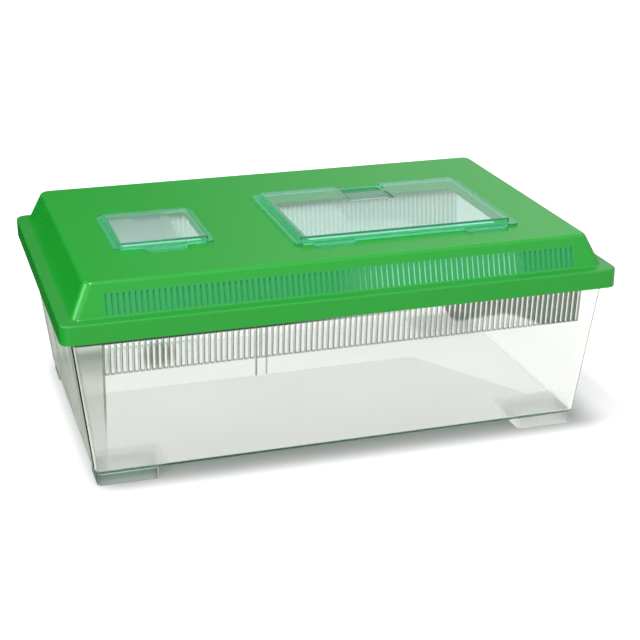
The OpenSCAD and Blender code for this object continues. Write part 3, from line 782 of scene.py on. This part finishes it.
def tub_group():
    """Masks on the tub: ribs, painted shade on them, on the uprights, the walls and the floor's edge, the
    frosted floor, the feet, and a painted shadow line where the lid ends.
    """
    group, net = new_group("tub_zones", (*TUB_TINTS, "Floor"))
    smooth, times, largest = net.smooth, net.times, net.largest
    x, y, z = net.place("XYZ")
    side_x, side_y = net.calc("ABSOLUTE", x), net.calc("ABSOLUTE", y)
    front, faded = smooth(y, *FRONT_WALL), smooth(y, *FADE_TO_BACK)

    # Rib band, with painted shade in the grooves between the ribs, which are also frosted, and painted dark
    # lines at the sides of the ribs and at their lower ends
    rib_x, rib_z = net.calc("SUBTRACT", x, RIB_SHIFT), FOOT_H + RIB_START
    off, half = net.row_offset(rib_x, RIB_PITCH, RIB_COUNT), RIB_COUNT * RIB_PITCH / 2
    wide = smooth(net.calc("ABSOLUTE", rib_x), half + 0.4, half)
    band = times(wide, smooth(z, rib_z - 0.4, rib_z + 0.8), smooth(side_y, *RIBBED_WALLS))
    between = smooth(off, *BETWEEN_RIBS)
    net.put("Grooves", times(band, between, faded))
    sides = times(between, smooth(off, *RIB_SIDES))
    ends = times(smooth(z, rib_z + 1.9, rib_z + 1.3), front, smooth(off, *RIB_ENDS))
    net.put("Lines", times(band, largest(sides, times(ends, RIB_END_LEVEL)), faded))

    # Painted shade on the ribs: a cloudy zone under the rim that hangs lower at the right, and one round spot
    level = net.add_times(net.noise(DARK_SCALE, 2), DARK_CLOUDS, net.calc("SUBTRACT", z, DARK_CLOUDS / 2))
    for lower in (DARK_LOWER_RIGHT, DARK_LOWER_END):
        level = net.calc("ADD", level, smooth(x, *lower))
    spot_x, spot_z = (times(net.calc("SUBTRACT", value, middle), 1 / reach)
                      for value, (middle, reach) in ((x, SPOT_X), (z, SPOT_Z)))
    dark = largest(smooth(level, *DARK_FROM), smooth(net.squares(spot_x, spot_z), *SPOT))
    net.put("Shade", times(band, dark, smooth(off, *RIB_SHADE), faded))

    # Painted shade: dark edges on the flat uprights, the narrow field left of them, darker towards the top,
    # and the left wall, darker and greener
    bar_edge = net.apart(net.apart(x, -BAR_LEFT), BAR_W / 2)
    bar_z, panel_z = FOOT_H + BAR_START, FOOT_H + PANEL_START
    bar = times(smooth(bar_edge, 0.8, 0.4), smooth(z, bar_z, bar_z + 1))
    panel = times(smooth(net.apart(x, -PANEL_LEFT), 1.1, 0.6), smooth(z, panel_z, panel_z + PANEL_START))
    net.put("Uprights", times(front, largest(bar, panel)))
    net.put("Margin", times(front, smooth(x, -PANEL_LEFT + 1.4, -PANEL_LEFT - 0.6), smooth(z, *MARGIN_RISE)))
    net.put("Side", times(smooth(x, *LEFT_WALL), smooth(z, FOOT_H + 3, FOOT_H + 8)))

    # The floor with its matt field, and with frost over the feet that is full on their walls
    field = times(smooth(net.add_times(y, FIELD_SLANT, x), *FIELD_RIGHT), smooth(y, *FIELD_BACK))
    field = net.add_times(field, 1 - FIELD_LEAST, FIELD_LEAST)
    inner_x, inner_y = FLOOR_W / 2 - FOOT_INSET - FOOT_W, FLOOR_D / 2 - FOOT_INSET - FOOT_D
    over_x = smooth(side_x, inner_x - FROST_REACH, inner_x)
    over_y = smooth(side_y, inner_y - FROST_REACH, inner_y)
    frosted = times(over_x, over_y, smooth(z, FOOT_H + 0.2, FOOT_H - 0.2, *FROST))
    net.put("Floor", times(smooth(z, FOOT_H + 3.2, FOOT_H + 2.6), largest(field, frosted)))

    # Painted shade along the floor's outer edge, strongest at the front left; and the outward faces of the
    # feet, dark mint, with painted shade that makes the left feet darker than the right
    edge_x, edge_y = FLOOR_W / 2 - 3, FLOOR_D / 2 - 3
    rim = largest(smooth(side_x, edge_x, edge_x + 1.5), smooth(side_y, edge_y, edge_y + 1.5))
    low = times(smooth(z, FOOT_H + 4.4, FOOT_H + 3.2), smooth(z, FOOT_H - 0.6, FOOT_H - 0.1))
    net.put("Edge", times(rim, low, smooth(net.calc("ADD", x, y), *EDGE_FADE)))
    out_x, out_y = FLOOR_W / 2 - FOOT_INSET - 1.4, FLOOR_D / 2 - FOOT_INSET - 1.4
    outward = largest(smooth(side_x, out_x, out_x + 0.6), smooth(side_y, out_y, out_y + 0.6))
    net.put("Foot", times(outward, smooth(z, FOOT_H + 0.1, FOOT_H - 0.3), smooth(x, *FOOT_LESS_RIGHT),
                          smooth(z, *FOOT_LESS_LOW)))

    # Painted shadow: a dark line on the front wall just under the lid's skirt, fading out to the right
    line = times(smooth(z, *SKIRT_SHADOW_LOW), smooth(z, *SKIRT_SHADOW_HIGH))
    net.put("Skirt Shadow Line", times(line, smooth(x, *FADE_TO_RIGHT), front))
    return group


def tub_plastic():
    """Clear and nearly colourless, with a frosted floor and dark mint feet, and with painted shade on the
    ribs, walls and floor edge and under the lid's skirt.
    """
    material, net, shader = clear_shader("clear_tub_plastic", ior=1.55, shadow_tint=(0.74, 0.77, 0.75),
                                         body_tint=(0.3, 0.75, 0.5), density=7)
    marks = add_finish(net, shader, **CLEAR_FINISH)
    zones = net.use(tub_group())
    net.feed(shader.inputs["Base Color"], net.layered(TUB_COLOUR, zones, TUB_TINTS))
    rough = net.add_times(zones["Grooves"], TUB_GROOVE_ROUGH, net.times(marks, MARKS_ROUGH))
    for zone, most in (("Margin", TUB_MARGIN_ROUGH), ("Floor", TUB_FLOOR_ROUGH)):
        rough = net.largest(rough, net.times(zones[zone], most))
    net.feed(shader.inputs["Roughness"], rough)
    return material


HATCH_TRANSMISSION, HATCH_ROUGH, HATCH_FROST_ROUGH = 0.91, 0.05, 0.15
HATCH_COLOUR = (0.35, 0.96, 0.67)
HATCH_TINTS = {"Panel": (0.68, 0.85, 0.79)}
HATCH_FROST_FROM = (-112, -126)


def hatch_group():
    """Masks of the panels inside the frames of the two hatches, and of the frosted part of the small one."""
    group, net = new_group("hatch_zones", ("Panel", "Frosted"))
    x, y = net.place("XY")
    panels = []
    for hatch in (LARGE, SMALL):
        half_w, half_d = hatch["w"] / 2 - HATCH_WALL, hatch["d"] / 2 - HATCH_WALL
        panels.append(net.times(net.smooth(net.apart(x, hatch["x"]), half_w, half_w - 1),
                                net.smooth(net.apart(y, hatch["y"]), half_d, half_d - 1)))
    net.put("Panel", net.largest(*panels))
    net.put("Frosted", net.smooth(x, *HATCH_FROST_FROM))
    return group


def hatch_plastic():
    """Clear with a green cast, which is deeper in the frames than in the panels."""
    material, net, shader = clear_shader("clear_hatch_plastic", ior=1.3, shadow_tint=(0.86, 0.94, 0.91),
                                         body_tint=(0.2, 0.75, 0.6), density=60)
    marks = add_finish(net, shader, **CLEAR_FINISH)
    zones = net.use(hatch_group())
    net.feed(shader.inputs["Base Color"], net.layered(HATCH_COLOUR, zones, HATCH_TINTS))
    rough = net.add_times(marks, MARKS_ROUGH, HATCH_ROUGH)
    net.feed(shader.inputs["Roughness"], net.add_times(zones["Frosted"], HATCH_FROST_ROUGH, rough))
    shader.inputs["Transmission Weight"].default_value = HATCH_TRANSMISSION
    return material


# ---------------------------------------------------------------- floor and world

def ray_kinds(net):
    """Masks of what the eye sees straight, what it sees through clear plastic, and what is mirrored."""
    path = net.add("LightPath").outputs
    eye, through = path["Is Camera Ray"], path["Is Transmission Ray"]
    mirrored = net.calc("SUBTRACT", path["Is Glossy Ray"], through)
    return eye, through, net.largest(mirrored, 0.0)


# The floor, in metres: SHADOW is the stretch under the tub where the floor glows least,
# and the soft steps have a start and an end, and a low and a high level where not 0 and 1
FLOOR_HALF = 6
SHADOW_MIDDLE_X, SHADOW_HALF_W, SHADOW_HALF_D = 0.012, 0.195, 0.12
FAR_GLOW, PAST_GLOW = (0.3, 1.1, 0.08, 1.0), (0, 0.045, 0.05, 0.55)
MIRROR_SLANT, MIRROR_FRONT = -0.4, (-0.25, 0.05, 1.0, 0.0)
MIRROR_EDGE, MIRROR_BEHIND = (-0.262, -0.230), (0.8, 0.4, 0, 0.42)
MATTE_OTHERS, MATTE_EYE, MATTE_THROUGH, MATTE_MIRRORED = 0.55, 0.35, -0.45, -0.55
WHITE, MIRROR_TINT = (1, 1, 1, 1), (0.92, 1, 0.88, 1)


def floor_material():
    """Pale floor: brighter to the eye away from the keeper, white through clear plastic, dark in mirrors."""
    material, net = new_material("pale_floor")
    smooth = net.smooth
    x, y = net.place("XY", 1)
    eye, through, mirrored = ray_kinds(net)
    away = net.calc("SQRT", net.squares(x, y))
    past_x, past_y = net.beyond(x, SHADOW_MIDDLE_X, SHADOW_HALF_W), net.beyond(y, 0, SHADOW_HALF_D)
    past = net.calc("SQRT", net.squares(past_x, past_y))
    eye_glow = net.largest(smooth(away, *FAR_GLOW), smooth(past, *PAST_GLOW))
    near = net.times(smooth(x, *MIRROR_EDGE), smooth(y, *MIRROR_BEHIND))
    in_front = smooth(net.add_times(x, MIRROR_SLANT, y), *MIRROR_FRONT)
    glow = net.add_times(through, 1.0, net.times(eye, eye_glow))
    glow = net.add_times(mirrored, net.largest(near, in_front), glow)
    matte_level = MATTE_OTHERS
    for kind, more in ((eye, MATTE_EYE), (through, MATTE_THROUGH), (mirrored, MATTE_MIRRORED)):
        matte_level = net.add_times(kind, more, matte_level)
    matte, light, both = net.add("BsdfDiffuse"), net.add("Emission"), net.add("AddShader")
    net.links.new(matte_level, matte.inputs["Color"])
    net.links.new(glow, light.inputs["Strength"])
    net.links.new(net.blend(mirrored, WHITE, MIRROR_TINT), light.inputs["Color"])
    net.links.new(matte.outputs[0], both.inputs[0])
    net.links.new(light.outputs[0], both.inputs[1])
    net.put("Surface", both.outputs[0])
    return material


# What mirrors show: a level everywhere, and lobes with their way, start, end and height
MIRROR_LEVEL = 0.05
MIRROR_LOBES = (((0.81, 0.47, 0.35), 0.6, 0.92, 0.7), ((0.3, -0.94, 0.16), 0.2, 0.8, 0.85),
                ((0, 0, 1), 0.2, 0.8, 0.45), ((-0.86, -0.06, 0.51), 0.93, 0.98, 6))
THROUGH_LEVEL = 0.85
SOFT_WAY, SOFT_LIGHT = (-0.5, -0.85, 0.15), (-0.3, 0.7, 0.2, 1.0)


def facing(net, way):
    """How far a direction of the world points one way, from -1 to 1."""
    toward = net.add("VectorMath")
    toward.operation = "DOT_PRODUCT"
    net.links.new(net.add("TexCoord").outputs["Generated"], toward.inputs[0])
    toward.inputs[1].default_value = way
    return toward.outputs["Value"]


def studio_world():
    """White to the eye, softer on surfaces, and in reflections bright in front and at the right."""
    world = bpy.data.worlds.new("studio")
    world.use_nodes = True
    net = Net(world.node_tree, world.node_tree.nodes["Background"])
    level = MIRROR_LEVEL
    for way, start, end, height in MIRROR_LOBES:
        level = net.calc("ADD", level, net.smooth(facing(net, way), start, end, 0, height))
    eye, through, mirrored = ray_kinds(net)
    seen = net.calc("ADD", net.calc("ADD", eye, through), mirrored)
    total = net.add_times(through, THROUGH_LEVEL, net.add_times(mirrored, level, eye))
    plain = net.times(net.calc("SUBTRACT", 1.0, seen), net.smooth(facing(net, SOFT_WAY), *SOFT_LIGHT))
    net.put("Color", WHITE)
    net.put("Strength", net.calc("ADD", plain, total))
    bpy.context.scene.world = world


# ---------------------------------------------------------------- the keeper

GREEN = green_plastic()
TUB_CLEAR = tub_plastic()
HATCH_CLEAR = hatch_plastic()

finished(make_tub(), "clear_tub", TUB_CLEAR, "tub", "tub", BODY_EDGE_R)
finished(make_lid(), "green_lid", GREEN, "lid", "lid", BODY_EDGE_R)
finished(make_large_hatch(), "large_clear_hatch", HATCH_CLEAR,
         "large_hatch", "large_hatch", HATCH_EDGE_R)
finished(make_latch(), "latch_tongue", HATCH_CLEAR,
         "latch", "large_hatch_latch", HATCH_EDGE_R)
finished(make_small_hatch(), "small_clear_hatch", HATCH_CLEAR,
         "small_hatch", "small_hatch", HATCH_EDGE_R)


# ---------------------------------------------------------------- stage, lamps and camera

floor_bm = bmesh.new()
bmesh.ops.create_grid(floor_bm, x_segments=1, y_segments=1, size=FLOOR_HALF)
floor = as_object(floor_bm, "floor")
floor.data.materials.append(floor_material())

LAMP_AIM = Vector((0, 0, 0.1))


def lamp(name, place, size, watts):
    """A round lamp that points at the keeper."""
    data = bpy.data.lights.new(name, "AREA")
    data.shape, data.size, data.energy = "DISK", size, watts
    obj = bpy.data.objects.new(name, data)
    obj.location = place
    obj.rotation_euler = (LAMP_AIM - Vector(place)).to_track_quat("-Z", "Y").to_euler()
    bpy.context.scene.collection.objects.link(obj)


lamp("key", (-1.9, -1.9, 0.8), size=1.0, watts=13)
lamp("top", (-0.5, -0.32, 2.4), size=0.5, watts=27.5)
studio_world()

# The view: 17 degrees left of the front and 21 degrees down
AZIMUTH, ELEVATION = math.radians(-17.01), math.radians(21.08)
VIEW_PLACE, SENSOR_W, LENS = (-0.3455, -1.1854, 0.5477), 36, 83.64
level_way = math.cos(ELEVATION)
back = Vector((level_way * math.sin(AZIMUTH), -level_way * math.cos(AZIMUTH), math.sin(ELEVATION)))
camera_data = bpy.data.cameras.new("camera")
camera_data.sensor_width, camera_data.lens = SENSOR_W, LENS
camera_data.clip_start, camera_data.clip_end = 0.05, 50
camera = bpy.data.objects.new("camera", camera_data)
camera.location = VIEW_PLACE
camera.rotation_euler = (-back).to_track_quat("-Z", "Y").to_euler()
bpy.context.scene.collection.objects.link(camera)
bpy.context.scene.camera = camera
bpy.context.scene.view_settings.view_transform = "Standard"
